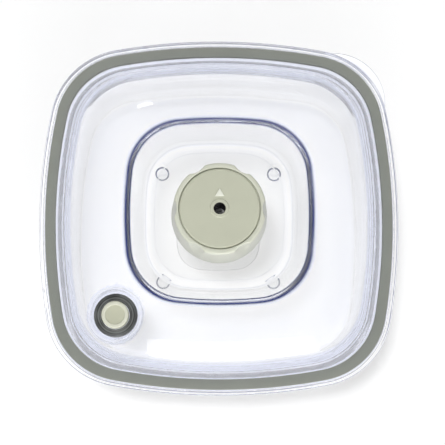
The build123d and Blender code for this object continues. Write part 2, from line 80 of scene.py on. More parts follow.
class Slot(Enum):
    """The record's material slots."""

    CLEAR_CONTAINER = "clear_container"
    CLEAR_LID = "clear_lid"
    GASKET = "gasket_rubber"
    GRIP = "sage_grip"
    FACE = "sage_face"
    BUTTON = "sage_button"
    BLACK_RUBBER = "black_rubber"
    GREY_RUBBER = "grey_rubber"
    WHITE_SILICONE = "white_silicone"
    WHITE_PLASTIC = "white_plastic"
    STAINLESS = "stainless"


class Join(Enum):
    """The ways in which one solid mesh meets another."""

    UNION = "UNION"
    DIFFERENCE = "DIFFERENCE"
    INTERSECT = "INTERSECT"


class Socket:
    """An output socket that Python's operators extend with Math nodes."""

    def __init__(self, tree: NodeTree, output: NodeSocket) -> None:
        """Keep the tree and the socket."""
        self.tree = tree
        self.output = output

    def _math(self, operation: str, *values: Term, clamp: bool = False) -> "Socket":
        """Add a Math node.

        Args:
            operation: the node's operation.
            values: what its inputs get.
            clamp: whether the result stays between 0 and 1.

        Returns:
            The result's socket.
        """
        node = self.tree.nodes.new("ShaderNodeMath")
        node.operation = operation
        node.use_clamp = clamp
        for socket, value in zip(node.inputs, values):
            plug(self.tree, socket, value)
        return Socket(self.tree, node.outputs[0])

    def __add__(self, other: Term) -> "Socket":
        """Return self + other."""
        return self._math("ADD", self, other)

    __radd__ = __add__

    def __mul__(self, other: Term) -> "Socket":
        """Return self * other."""
        return self._math("MULTIPLY", self, other)

    __rmul__ = __mul__

    def __sub__(self, other: Term) -> "Socket":
        """Return self - other."""
        return self._math("SUBTRACT", self, other)

    def __rsub__(self, other: Term) -> "Socket":
        """Return other - self."""
        return self._math("SUBTRACT", other, self)

    def clamped(self) -> "Socket":
        """Return self held between 0 and 1."""
        return self._math("ADD", self, 0.0, clamp=True)


def plug(tree: NodeTree, socket: NodeSocket, value: Value) -> None:
    """Link a socket to what gives its value, which may be a node's first output, or set it to the value."""
    if isinstance(value, Node):
        value = value.outputs[0]
    elif isinstance(value, Socket):
        value = value.output
    if isinstance(value, NodeSocket):
        tree.links.new(value, socket)
    else:
        socket.default_value = value


class Graph:
    """A node tree while it is being built."""

    tree: NodeTree
    prefix = ""

    def node(self, kind: str, settings: Optional[dict[str, str]] = None, **values: Value) -> Node:
        """Add a node.

        Args:
            kind: the node's type, without the prefix that the graph gives it.
            settings: the node's own settings, made before its sockets are filled.
            values: values or links by socket name, with spaces as underscores.

        Returns:
            The node.
        """
        node = self.tree.nodes.new(self.prefix + kind)
        for key, value in (settings or {}).items():
            setattr(node, key, value)
        for key, value in values.items():
            plug(self.tree, node.inputs[key.replace("_", " ")], value)
        return node


class Shader(Graph):
    """A material's or a world's node tree while it is being built."""

    prefix = "ShaderNode"

    def __init__(self, owner: Union[str, World]) -> None:
        """Start a material of a name with an empty tree, or take a world's tree as it is."""
        if isinstance(owner, str):
            self.material = bpy.data.materials.new(owner)
            self.material.use_nodes = True
            self.tree = self.material.node_tree
            self.tree.nodes.clear()
        else:
            owner.use_nodes = True
            self.tree = owner.node_tree

    def out(self, node: Node, name: Union[str, int] = 0) -> Socket:
        """Return one of a node's outputs as a Socket."""
        return Socket(self.tree, node.outputs[name])

    def attribute(self, name: str) -> Socket:
        """Return the share that a mesh holds under a name."""
        return self.out(self.node("Attribute", {"attribute_name": name}), "Fac")

    def noise(self, scale: float, detail: float = 2.0) -> Socket:
        """Return noise over Object coordinates, by its waves per metre and its octaves."""
        place = self.out(self.node("TexCoord"), "Object")
        return self.out(self.node("TexNoise", Vector=place, Scale=scale, Detail=detail), "Fac")

    def away(self, centre: Place) -> Socket:
        """Return how far a point is, in metres, from an upright line whose place is in millimetres."""
        place = self.out(self.node("TexCoord"), "Object")
        start = (-centre[0] * MM, -centre[1] * MM, 0.0)
        flat = self.out(self.node("Mapping", Vector=place, Location=start, Scale=(1.0, 1.0, 0.0)))
        return self.out(self.node("VectorMath", {"operation": "LENGTH"}, Vector=flat), "Value")

    def rings(self, centre: Place, scale: float) -> Socket:
        """Return noise that runs in rings round a place, by its waves per metre outwards."""
        line = {"noise_dimensions": "1D"}
        return self.out(self.node("TexNoise", line, W=self.away(centre), Scale=scale, Detail=3.0), "Fac")

    def bump(self, height: Socket, strength: float, distance: float) -> Socket:
        """Return a Bump node's normal for a height."""
        return self.out(self.node("Bump", Height=height, Strength=strength, Distance=distance))

    def mixed(self, low: Value, high: Value, factor: Socket) -> Socket:
        """Return a colour between two, by a factor."""
        mix = self.node("Mix", {"data_type": "RGBA"})
        inputs = {socket.identifier: socket for socket in mix.inputs}
        for identifier, value in (("Factor_Float", factor), ("A_Color", low), ("B_Color", high)):
            plug(self.tree, inputs[identifier], value)
        return Socket(self.tree, {socket.identifier: socket for socket in mix.outputs}["Result_Color"])

    def blend(self, first: Node, second: Node, factor: Socket) -> Node:
        """Return a Mix Shader of two surfaces."""
        mix = self.node("MixShader", Fac=factor)
        for socket, surface in zip(mix.inputs[1:], (first, second)):
            plug(self.tree, socket, surface)
        return mix

    def finish(self, surface: Node) -> Material:
        """Join a surface to the output and return the material."""
        self.node("OutputMaterial", Surface=surface)
        return self.material


def grey(level: float) -> Colour:
    """Return a grey."""
    return (level, level, level, 1.0)


def srgb(red: float, green: float, blue: float) -> Colour:
    """Return a linear colour from 8-bit screen values."""

    def linear(value: float) -> float:
        """Return one channel's linear value."""
        share = value / 255.0
        return share / 12.92 if share <= 0.04045 else ((share + 0.055) / 1.055) ** 2.4

    return (linear(red), linear(green), linear(blue), 1.0)


@dataclass(frozen=True)
class ClearPlastic:
    """Clear moulded plastic. The wall attribute gives the plastic's own blue tint along thick walls, and
    painted dark navy edge lines, which stand in for the dark lines that bent light draws along the clear
    walls' edges; the frost attribute greys it and roughens it a little, which is painted shade round and
    under the knob.
    """

    name: str
    clear: Colour = (0.9990, 0.9993, 1.0, 1.0)
    deep: Colour = (0.27, 0.35, 0.70, 1.0)
    edge: Colour = (0.007, 0.020, 0.150, 1.0)
    frost_and_shade: Colour = (0.72, 0.728, 0.732, 1.0)
    shadow_tint: Colour = (0.985, 0.986, 0.988, 1.0)
    shadow_gloss: float = 0.5
    ior: float = 1.4
    roughness: float = 0.015
    frost_roughness: float = 0.09
    cloud_scale: float = 40.0
    cloud_roughness: float = 0.02
    tint_base: float = 0.85
    tint_cloud: float = 0.3
    haze: float = 0.06
    wall_haze: float = 0.45
    painted_edge_start: float = 0.4
    painted_edge_ior: float = 1.2
    painted_edge_gloss: float = 0.25
    painted_edge_roughness: float = 0.08
    streak_scale: float = 24.0
    streak_base: float = 0.28
    streak_gain: float = 1.5
    ripple_scale: float = 22.0
    ripple_strength: float = 0.35
    ripple_depth: float = 0.0001

    def build(self) -> Material:
        """Return the material."""
        shader = Shader(self.name)
        wall, frost_and_shade = shader.attribute("wall"), shader.attribute("frost_and_shade")
        cloud = shader.noise(self.cloud_scale, 3.0)
        tint = (wall * (self.tint_base + cloud * self.tint_cloud)).clamped()
        ripple = shader.bump(shader.noise(self.ripple_scale), self.ripple_strength, self.ripple_depth)
        # Base colour: the plastic's clear and blue tints, greyed by the frost share, which is painted shade
        # round and under the knob.
        glass = shader.node(
            "BsdfPrincipled",
            Base_Color=shader.mixed(shader.mixed(self.clear, self.frost_and_shade, frost_and_shade), self.deep, tint),
            Roughness=frost_and_shade * self.frost_roughness + cloud * self.cloud_roughness + self.roughness,
            IOR=self.ior,
            Transmission_Weight=1.0,
            Normal=ripple,
        )
        straight = shader.node("BsdfTransparent", Color=self.clear)
        glass = shader.blend(glass, straight, (wall * self.wall_haze + self.haze).clamped())
        # Painted dark edge lines: an opaque navy surface where the wall share is high.
        edge = shader.node(
            "BsdfPrincipled",
            Base_Color=self.edge,
            Roughness=self.painted_edge_roughness,
            IOR=self.painted_edge_ior,
            Specular_IOR_Level=self.painted_edge_gloss,
            Normal=ripple,
        )
        # How much of the painted navy edge line shows, broken up by noise.
        painted_edge_share = ((wall - self.painted_edge_start) * (1.0 / (1.0 - self.painted_edge_start))).clamped()
        painted_edge_share = painted_edge_share * (shader.noise(self.streak_scale) * self.streak_gain + self.streak_base).clamped()
        body = shader.blend(glass, edge, painted_edge_share)
        bare = shader.node("BsdfTransparent", Color=self.shadow_tint)
        shadow = shader.out(shader.node("LightPath"), "Is Shadow Ray")
        gloss = shader.out(shader.node("Fresnel", IOR=self.ior))
        return shader.finish(shader.blend(body, bare, shadow * (1.0 - gloss * self.shadow_gloss)))


@dataclass(frozen=True)
class Moulded:
    """Opaque plastic or rubber with a fine moulded grain and a little colour drift; for the grommet,
    painted highlight arcs that run in rings round a centre.
    """

    name: str
    colour: Colour
    drift_and_highlight: float = 0.06
    drift_scale: float = 90.0
    roughness: float = 0.4
    roughness_drift: float = 0.1
    grain: float = 4000.0
    grain_strength: float = 0.35
    grain_depth: float = 0.00002
    metallic: float = 0.0
    coat: float = 0.0
    mark: Optional[Colour] = None
    highlight_streak: float = 0.0
    highlight_streak_middle: float = 0.42
    ring_centre: Place = MIDDLE
    ring_scale: float = 900.0
    ring_gain: float = 3.6
    patch_scale: float = 130.0
    patch_gain: float = 1.6

    def build(self) -> Material:
        """Return the material."""
        shader = Shader(self.name)
        cloud = shader.noise(self.drift_scale, 4.0)
        # Painted highlight arcs: noise in rings round a centre, with patches, mixed into the colour drift.
        if self.highlight_streak:
            rings = (shader.rings(self.ring_centre, self.ring_scale) - 0.5) * self.ring_gain
            rings = rings + (shader.noise(self.patch_scale, 1.0) - 0.5) * self.patch_gain
            rings = (rings + self.highlight_streak_middle).clamped()
            cloud = (cloud * (1.0 - self.highlight_streak) + rings * self.highlight_streak).clamped()
        low, high = (
            tuple(min(1.0, value * share) for value in self.colour[:3]) + (1.0,)
            for share in (1.0 - self.drift_and_highlight, 1.0 + self.drift_and_highlight)
        )
        base = shader.mixed(low, high, cloud)
        if self.mark:
            base = shader.mixed(base, self.mark, shader.attribute("mark"))
        surface = shader.node(
            "BsdfPrincipled",
            Base_Color=base,
            Roughness=cloud * self.roughness_drift + (self.roughness - self.roughness_drift / 2),
            Metallic=self.metallic,
            Coat_Weight=self.coat,
            Normal=shader.bump(shader.noise(self.grain), self.grain_strength, self.grain_depth),
        )
        return shader.finish(surface)


class Finishes:
    """Every finish of the canister, built once."""

    def __init__(self) -> None:
        """Build the materials."""
        sage, pale = srgb(190, 192, 173), srgb(228, 230, 217)
        button, rim = srgb(190, 191, 170), srgb(212, 213, 196)
        finishes = {
            Slot.CLEAR_CONTAINER: ClearPlastic("container clear plastic"),
            Slot.CLEAR_LID: ClearPlastic("lid clear plastic"),
            Slot.GASKET: Moulded("grey-green gasket silicone", srgb(146, 149, 140), roughness=0.5),
            Slot.GRIP: Moulded("pale sage grip plastic", srgb(205, 207, 191), roughness=0.34, coat=0.2),
            Slot.FACE: Moulded("sage face plastic", sage, roughness=0.5, mark=pale),
            Slot.BUTTON: Moulded("sage button plastic", button, roughness=0.45, mark=rim),
            Slot.BLACK_RUBBER: Moulded("black rubber", grey(0.008), roughness=0.55),
            Slot.GREY_RUBBER: Moulded(
                "dark grey silicone",
                srgb(88, 90, 89),
                # The strong drift and the rings paint highlight arcs round the grommet.
                drift_and_highlight=0.9,
                roughness=0.22,
                coat=0.5,
                highlight_streak=0.8,
                ring_centre=WELL_PLACE,
            ),
            Slot.WHITE_SILICONE: Moulded("white silicone", grey(0.72), roughness=0.5),
            Slot.WHITE_PLASTIC: Moulded("white acetal", grey(0.78), roughness=0.35),
            Slot.STAINLESS: Moulded("stainless steel", grey(0.6), roughness=0.28, metallic=1.0),
        }
        self.by_slot = {slot: finish.build() for slot, finish in finishes.items()}

    def dress(self, piece: Object, slot: Slot) -> None:
        """Give a piece one finish all over."""
        piece.data.materials.clear()
        piece.data.materials.append(self.by_slot[slot])
        for polygon in piece.data.polygons:
            polygon.material_index = 0


@dataclass(frozen=True)
class BowedSquare:
    """A square with bowed sides and round corners, whose sizes are shares of its half width."""

    side_share: float = 4.5
    corner_share: float = 0.6

    def reach(self, angle: float) -> float:
        """Return how far the outline stands from its centre at an angle, in half widths."""
        quarter = math.pi / 2
        turn = abs((angle + quarter / 2) % quarter - quarter / 2)
        back = self.side_share - 1.0
        gap = self.side_share - self.corner_share
        centre = (math.sqrt(2 * gap**2 - back**2) - back) / 2
        joint = math.atan2(self.side_share * centre / gap, self.side_share * (centre + back) / gap - back)
        if turn <= joint:
            return math.sqrt(self.side_share**2 - (back * math.sin(turn)) ** 2) - back * math.cos(turn)
        along = centre * (math.cos(turn) + math.sin(turn))
        return along + math.sqrt(self.corner_share**2 - 2 * centre**2 + along**2)


RECESS_SQUARE = BowedSquare()
# Rings up to the first half width follow the recess, and from the second one on they follow the rim.
RECESS_REACH = 50.0
RIM_REACH = 74.0
# By how much the radius of a rim ring's sides is larger than its half width.
RIM_SIDE = 203.0
# By how much the radius of its corners is smaller.
RIM_CORNER = 50.0
# Rim rings narrower than this keep its shares.
RIM_EDGE = 84.65
# How much of a side a round may take.
ROUND_SHARE = 0.48
# How far beside a round the points stand that keep its flats flat: at least this, more on long sides.
GUARD_LEAST = 0.02
GUARD_SHARE = 0.01
GUARD_MOST = 0.15


def reach(angle: float, half: float) -> float:
    """Return how far a bowed ring stands out at an angle.

    Args:
        angle: the direction from the canister's middle.
        half: the ring's half width, in millimetres; rings near the rim run beside each other and have
            squarer corners than those round the recess.

    Returns:
        The distance in half widths.
    """
    inner = RECESS_SQUARE.reach(angle)
    share = min(1.0, max(0.0, (half - RECESS_REACH) / (RIM_REACH - RECESS_REACH)))
    if share <= 0.0:
        return inner
    wide = max(half, RIM_EDGE)
    outer = BowedSquare((wide + RIM_SIDE) / wide, (wide - RIM_CORNER) / wide).reach(angle)
    return inner + (outer - inner) * share


@dataclass
class Corner:
    """A corner of a section: how far out and how high it is, its round, and how square its ring is."""

    half: float
    height: float
    round: float = 0.0
    square: float = 1.0

    def place(self, angle: float) -> Place:
        """Return the ring's radius and height at an angle."""
        if self.square <= 0.0:
            return self.half, self.height
        return self.half * (self.square * reach(angle, self.half) + 1.0 - self.square), self.height


def circles(*places: Sequence[float]) -> list[Corner]:
    """Return corners whose rings are circles, each from its radius, its height and any round."""
    return [Corner(*place, square=0.0) for place in places]


def settled(work: bmesh.types.BMesh, name: str) -> Mesh:
    """Return what was built in a bmesh as a mesh of a name."""
    mesh = bpy.data.meshes.new(name)
    work.to_mesh(mesh)
    work.free()
    return mesh


def rounded(corners: Sequence[Corner], closed: bool, steps: int) -> list[Corner]:
    """Round the corners of a section.

    Args:
        corners: the section's corners in order.
        closed: whether the last corner is joined to the first.
        steps: how many faces each round gets.

    Returns:
        The corners, with points along an arc in place of each that has a round, and one more close by on
        each side of it, which keeps the flats next to it flat in the shading.
    """
    result = []
    count = len(corners)
    for index, corner in enumerate(corners):
        ends = not closed and index in (0, count - 1)
        around = (corner, corners[index - 1], corners[(index + 1) % count])
        here, before, after = (Vector((item.half, item.height)) for item in around)
        sides = (before - here, after - here)
        lengths = [side.length for side in sides]
        if ends or corner.round <= 0.0 or min(lengths) < TINY:
            result.append(corner)
            continue
        opening = sides[0].angle(sides[1]) / 2
        back = min(corner.round / math.tan(opening), ROUND_SHARE * min(lengths))
        radius = back * math.tan(opening)
        ways = [side.normalized() for side in sides]
        middle = (ways[0] + ways[1]).normalized()
        centre = here + middle * (radius / math.sin(opening))
        start, end = ((here + way * back - centre).normalized() for way in ways)
        points = [centre + start.slerp(end, step / steps) * radius for step in range(steps + 1)]
        guards = [min(GUARD_MOST, GUARD_SHARE * length + GUARD_LEAST) for length in lengths]
        points.insert(0, points[0] + ways[0] * guards[0])
        points.append(points[-1] + ways[1] * guards[1])
        result.extend(Corner(point.x, point.y, 0.0, corner.square) for point in points)
    return result


def lathe(
    name: str,
    corners: Sequence[Corner],
    closed: bool = True,
    steps: int = 256,
    centre: Place = MIDDLE,
    arcs: int = 4,
) -> Mesh:
    """Turn a section round an upright axis into a watertight mesh.

    Args:
        name: the mesh's name.
        corners: the section's corners; an open section starts and ends on the axis.
        closed: whether the last corner is joined to the first.
        steps: how many faces go round.
        centre: the axis' place, in millimetres.
        arcs: how many faces each of the section's rounds gets.

    Returns:
        The mesh, in metres, with its faces pointing out.
    """
    work = bmesh.new()
    rings = []
    for corner in rounded(corners, closed, arcs):
        ring = []
        for step in range(steps if corner.half > TINY else 1):
            angle = 2 * math.pi * step / steps
            radius, height = corner.place(angle)
            x = centre[0] + radius * math.cos(angle)
            y = centre[1] + radius * math.sin(angle)
            ring.append(work.verts.new((x * MM, y * MM, height * MM)))
        rings.append(ring)
    for index in range(len(rings) if closed else len(rings) - 1):
        one, two = rings[index], rings[(index + 1) % len(rings)]
        for step in range(steps):
            ahead = (step + 1) % steps
            around = ((one, step), (one, ahead), (two, ahead), (two, step))
            work.faces.new(list(dict.fromkeys(ring[place % len(ring)] for ring, place in around)))
    bmesh.ops.recalc_face_normals(work, faces=work.faces)
    return settled(work, name)


def prism(name: str, points: Sequence[Place], low: float, high: float, soft: float) -> Mesh:
    """Raise a flat outline into a solid with softened edges.

    Args:
        name: the mesh's name.
        points: the outline, in millimetres.
        low: its lower height.
        high: its upper height.
        soft: how wide its softened edges are.

    Returns:
        The mesh.
    """
    work = bmesh.new()
    floor = work.faces.new([work.verts.new((x * MM, y * MM, low * MM)) for x, y in points])
    raised = bmesh.ops.extrude_face_region(work, geom=[floor])
    tops = [item for item in raised["geom"] if isinstance(item, bmesh.types.BMVert)]
    bmesh.ops.translate(work, verts=tops, vec=(0.0, 0.0, (high - low) * MM))
    bmesh.ops.recalc_face_normals(work, faces=work.faces)
    sharp = [edge for edge in work.edges if edge.calc_face_angle(0.0) > math.radians(50)]
    bmesh.ops.bevel(work, geom=sharp, offset=soft * MM, segments=2, profile=0.5, affect="EDGES")
    return settled(work, name)


def added(name: str, data: bpy.types.ID) -> Object:
    """Return a new object of the scene for a mesh, a light or a camera."""
    item = bpy.data.objects.new(name, data)
    bpy.context.scene.collection.objects.link(item)
    return item


def plain_mesh(holder: Object, name: str) -> Mesh:
    """Return an object's mesh as its modifiers leave it, and remove the object."""
    bpy.context.view_layer.update()
    graph = bpy.context.evaluated_depsgraph_get()
    mesh = bpy.data.meshes.new_from_object(holder.evaluated_get(graph), depsgraph=graph)
    mesh.name = name
    bpy.data.objects.remove(holder)
    return mesh


def joined(base: Mesh, tool: Mesh, way: Join) -> Mesh:
    """Return a solid mesh joined with, cut by or held within another."""
    holder, other = added("base", base), added("tool", tool)
    modifier = holder.modifiers.new("join", "BOOLEAN")
    modifier.operation = way.value
    modifier.solver = "EXACT"
    modifier.object = other
    mesh = plain_mesh(holder, base.name)
    bpy.data.objects.remove(other)
    return mesh


def gathered(name: str, meshes: Sequence[Mesh]) -> Mesh:
    """Return several meshes as one."""
    work = bmesh.new()
    for mesh in meshes:
        work.from_mesh(mesh)
    return settled(work, name)


def shaded(mesh: Mesh, sharp: float = 35.0) -> Mesh:
    """Shade a mesh smooth, apart from edges sharper than an angle in degrees."""
    mesh.shade_smooth()
    mesh.set_sharp_from_angle(angle=math.radians(sharp))
    return mesh


def apart(point: Vector, place: Place) -> float:
    """Return how far a point is from an upright line at a place, in millimetres."""
    return math.hypot(point.x - place[0], point.y - place[1])


def half_width(point: Vector) -> float:
    """Return the half width of the bowed ring that a point in millimetres lies on."""
    radius, angle = math.hypot(point.x, point.y), math.atan2(point.y, point.x)
    half = radius
    for _ in range(4):
        half = radius / reach(angle, half)
    return half


def marked(mesh: Mesh, name: str, rule: Callable[[Vector], float]) -> Mesh:
    """Write a share on every vertex, such as how much of it is thick wall seen along its length.

    Args:
        mesh: the mesh, in metres.
        name: the attribute.
        rule: the share for a point in millimetres.

    Returns:
        The mesh with its attribute.
    """
    marks = mesh.attributes.new(name, "FLOAT", "POINT")
    for vertex, mark in zip(mesh.vertices, marks.data):
        mark.value = rule(vertex.co / MM)
    return mesh


def near(value: float, middle: float, width: float) -> float:
    """Return 1 at a middle, falling smoothly to 0 at a width from it."""
    share = min(1.0, abs(value - middle) / width)
    return 1.0 - share * share * (3.0 - 2.0 * share)


@dataclass
class Workshop:
    """Sets finished meshes into the frame."""

    finishes: Finishes
    kept: list[str] = field(default_factory=list)

    def keep(self, mesh: Mesh, body: Body, slot: Slot, *nodes: str) -> Object:
        """Make a mesh a piece of the canister.

        Args:
            mesh: the finished mesh; its name becomes the piece's.
            body: what the piece rides on.
            slot: the material slot of its finish.
            nodes: the CAD nodes that it stands for.

        Returns:
            The piece.
        """
        piece = added(mesh.name.split(".")[0], mesh)
        self.finishes.dress(piece, slot)
        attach(piece, body.value)
        if nodes:
            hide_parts(*nodes)
        self.kept.extend(nodes)
        LOG.info("%s: %d faces", piece.name, len(mesh.polygons))
        return piece


class Pattern(Graph):
    """A Geometry Nodes tree, with named inputs, while it is being built."""

    def __init__(self, name: str) -> None:
        """Start a tree that takes a mesh and a finish."""
        self.tree = bpy.data.node_groups.new(name, "GeometryNodeTree")
        self.tree.interface.new_socket("Geometry", in_out="OUTPUT", socket_type="NodeSocketGeometry")
        self.inlet = self.tree.nodes.new("NodeGroupInput")
        self.sockets: dict[str, str] = {}
        self.mesh = self.input("Mesh", "Geometry")
        self.finish = self.input("Finish", "Material")

    def input(self, name: str, kind: str) -> NodeSocket:
        """Add a named input and return the socket that gives its value."""
        item = self.tree.interface.new_socket(name, in_out="INPUT", socket_type="NodeSocket" + kind)
        self.sockets[name] = item.identifier
        return next(socket for socket in self.inlet.outputs if socket.identifier == item.identifier)

    def end(self, shape: Node) -> None:
        """Realise a node's instances, give them the finish and hand them out."""
        real = self.node("GeometryNodeRealizeInstances", Geometry=shape)
        dressed = self.node("GeometryNodeSetMaterial", Geometry=real, Material=self.finish)
        self.node("NodeGroupOutput", Geometry=dressed)

    def run(self, mesh: Mesh, **values: Value) -> Mesh:
        """Run the tree on a mesh.

        Args:
            mesh: what the tree takes; its name becomes the result's.
            values: the inputs by name.

        Returns:
            The result as a plain mesh.
        """
        holder = added("pattern", mesh)
        modifier = holder.modifiers.new(self.tree.name, "NODES")
        modifier.node_group = self.tree
        for name, value in values.items():
            modifier[self.sockets[name.replace("_", " ")]] = value
        return plain_mesh(holder, mesh.name)


class CopyRing(Pattern):
    """Copies one shape round a circle."""

    def __init__(self) -> None:
        """Build the tree."""
        super().__init__("copy ring")
        count = self.input("Count", "Int")
        radius = self.input("Radius", "Float")
        start = self.input("Start", "Float")
        ring = self.node("GeometryNodeMeshCircle", Vertices=count, Radius=radius)
        turn = self.node("ShaderNodeCombineXYZ", Z=start)
        turned = self.node("GeometryNodeTransform", Geometry=ring, Rotation=turn)
        self.end(self.node("GeometryNodeInstanceOnPoints", Points=turned, Instance=self.mesh))


class CopySquare(Pattern):
    """Copies one shape to the corners of a square."""

    def __init__(self) -> None:
        """Build the tree."""
        super().__init__("copy square")
        size = self.input("Size", "Float")
        square = self.node("GeometryNodeMeshGrid", Size_X=size, Size_Y=size, Vertices_X=2, Vertices_Y=2)
        self.end(self.node("GeometryNodeInstanceOnPoints", Points=square, Instance=self.mesh))


class Coil(Pattern):
    """Winds a round wire into a spring."""

    def __init__(self) -> None:
        """Build the tree."""
        super().__init__("coil")
        names = ("Turns", "Radius", "Height", "Wire")
        turns, radius, height, wire = (self.input(name, "Float") for name in names)
        place = self.input("Place", "Vector")
        path = self.node(
            "GeometryNodeCurveSpiral",
            Resolution=40,
            Rotations=turns,
            Start_Radius=radius,
            End_Radius=radius,
            Height=height,
            Reverse=False,
        )
        placed = self.node("GeometryNodeTransform", Geometry=path, Translation=place)
        section = self.node("GeometryNodeCurvePrimitiveCircle", Resolution=14, Radius=wire)
        self.end(self.node("GeometryNodeCurveToMesh", Curve=placed, Profile_Curve=section, Fill_Caps=True))


@dataclass
class Screws:
    """A circle of screws with pan heads, cross recesses and threads."""

    name: str
    node: str
    body: Body
    circle: float
    seat: float
    shank: float
    upwards: bool
    head: float = 2.1
    head_height: float = 1.3
    radius: float = 1.1
    core: float = 0.86
    pitch: float = 0.6
    thread_start: float = 0.8
    tip: float = 1.0
    tip_radius: float = 0.3
    slot_reach: float = 1.2
    slot_half: float = 0.24
    slot_depth: float = 0.75

    def screw(self) -> Mesh:
        """Return one screw, standing on its seat in the middle."""
        point = 1.0 if self.upwards else -1.0
        top, tip, end = -point * self.head_height, self.shank - self.tip, point * self.shank
        section = circles((0.0, top), (self.head, top, 0.5), (self.head, 0.0, 0.1), (self.core, 0.0))
        height = self.thread_start
        while height + self.pitch < tip:
            crest = height + self.pitch / 2
            section += circles((self.core, point * height), (self.radius, point * crest))
            height += self.pitch
        section += circles((self.core, point * tip), (self.tip_radius, end), (0.0, end))
        if not self.upwards:
            section.reverse()
        screw = lathe(self.name, section, closed=False, steps=48)
        ends = (-point * (self.head_height + 0.5), -point * (self.head_height - self.slot_depth))
        low, high = sorted(ends)
        for long, wide in ((self.slot_reach, self.slot_half), (self.slot_half, self.slot_reach)):
            outline = [(-long, -wide), (long, -wide), (long, wide), (-long, wide)]
            screw = joined(screw, prism("slot", outline, low, high, 0.05), Join.DIFFERENCE)
        screw.transform(Matrix.Translation((0.0, 0.0, self.seat * MM)))
        return screw

    def build(self, workshop: Workshop) -> None:
        """Copy the screw round its circle and keep the ring."""
        finish = workshop.finishes.by_slot[Slot.STAINLESS]
        ring = CopyRing().run(
            self.screw(), Finish=finish, Count=SCREW_COUNT, Radius=self.circle * MM, Start=SCREW_START
        )
        workshop.keep(shaded(ring), self.body, Slot.STAINLESS, self.node)


@dataclass(frozen=True)
class Spring:
    """A wound spring: the one that pulls the selector down, or the one under the release button."""

    name: str
    node: str
    body: Body
    low: float
    high: float
    radius: float
    wire: float
    turns: float
    place: Place = MIDDLE

    def build(self, workshop: Workshop) -> Object:
        """Wind the spring and keep it."""
        spring = Coil().run(
            bpy.data.meshes.new(self.name),
            Finish=workshop.finishes.by_slot[Slot.STAINLESS],
            Turns=self.turns,
            Radius=self.radius * MM,
            Height=(self.high - self.low - 2 * self.wire) * MM,
            Wire=self.wire * MM,
            Place=(self.place[0] * MM, self.place[1] * MM, (self.low + self.wire) * MM),
        )
        return workshop.keep(shaded(spring, 60.0), self.body, Slot.STAINLESS, self.node)


@dataclass
class Vessel:
    """The clear tub: drafted wall, rim, rounded base with a sunk panel and four feet."""

    height: float = 46.5
    rim_half: float = 87.9
    rim_under: float = 44.3
    mouth_half: float = 81.5
    base_half: float = 75.37
    wall: float = 2.2
    base_under: float = 1.2
    base_top: float = 3.6
    base_round: float = 6.0
    inner_round: float = 4.5
    panel_half: float = 22.5
    panel_depth: float = 0.5
    foot_radius: float = 3.75
    foot_place: float = 30.5
    foot_flat: float = 0.9
    foot_root: float = 1.0
    # Shares of the wall attribute: the plastic's own blue tint, and painted dark edge lines round the feet
    # and at the rim.
    foot_blue: float = 0.95
    sole_blue: float = 0.05
    rim_blue: float = 0.3
    side_blue: float = 0.06
    base_blue: float = 0.16
    # The middle panel's grey is painted shade under the knob.
    panel_darkening: float = 0.5

    def build(self, workshop: Workshop) -> None:
        """Make the tub and keep it."""
        workshop.keep(self.mesh(), Body.VESSEL, Slot.CLEAR_CONTAINER, "container")

    def section(self) -> list[Corner]:
        """Return the section from under the middle, round the rim, to the middle of the floor."""
        panel_level = self.base_under + self.panel_depth
        slope = (self.mouth_half - self.base_half) / (self.height - self.base_under)
        inner_base = self.base_half - self.wall + (self.base_top - self.base_under) * slope
        rim_inner = self.mouth_half - (self.height - self.rim_under) * slope
        return [
            Corner(0.0, panel_level),
            Corner(self.panel_half, panel_level, 0.2),
            Corner(self.panel_half, self.base_under, 0.2),
            Corner(self.base_half, self.base_under, self.base_round),
            Corner(rim_inner, self.rim_under, 0.8),
            Corner(self.rim_half, self.rim_under, 0.7),
            Corner(self.rim_half, self.height, 0.5),
            Corner(self.mouth_half - self.wall, self.height, 0.6),
            Corner(inner_base, self.base_top, self.inner_round),
            Corner(0.0, self.base_top),
        ]

    def mesh(self) -> Mesh:
        """Return the tub's mesh."""
        tub = lathe("tub", self.section(), closed=False, arcs=6)
        root = self.base_under + self.foot_root
        foot = circles(
            (0.0, 0.0),
            (self.foot_radius - self.foot_flat, 0.0),
            (self.foot_radius, 0.0, 0.5),
            (self.foot_radius, self.base_under - 0.15),
            (self.foot_radius, root),
            (0.0, root),
        )
        foot = lathe("feet", foot, closed=False, steps=48)
        tub = joined(tub, CopySquare().run(foot, Size=2 * self.foot_place * MM), Join.UNION)
        tub.name = "clear_tub"
        marked(tub, "frost_and_shade", self.frost_and_shade_share)
        return shaded(marked(tub, "wall", self.tint_and_edge_line_share))

    def tint_and_edge_line_share(self, point: Vector) -> float:
        """Return how blue the tub looks at a point: the plastic's own tint along its sides and base, and
        painted dark edge lines round its feet and at its rim.
        """
        if point.z < self.base_under - 0.1:
            foot = math.hypot(abs(point.x) - self.foot_place, abs(point.y) - self.foot_place)
            return self.foot_blue if foot > self.foot_radius - 0.6 else self.sole_blue
        if point.z > self.rim_under - 0.5:
            return self.rim_blue
        if half_width(point) > self.base_half - 8.0:
            return self.side_blue + self.base_blue * near(point.z, 4.0, 5.0)
        return 0.0

    def frost_and_shade_share(self, point: Vector) -> float:
        """Return how grey the tub is at a point: its middle panel, under the knob, is darker, as painted
        shade.
        """
        panel = point.z < self.base_top - 0.1 and half_width(point) < self.panel_half + 0.1
        return self.panel_darkening if panel else 0.0


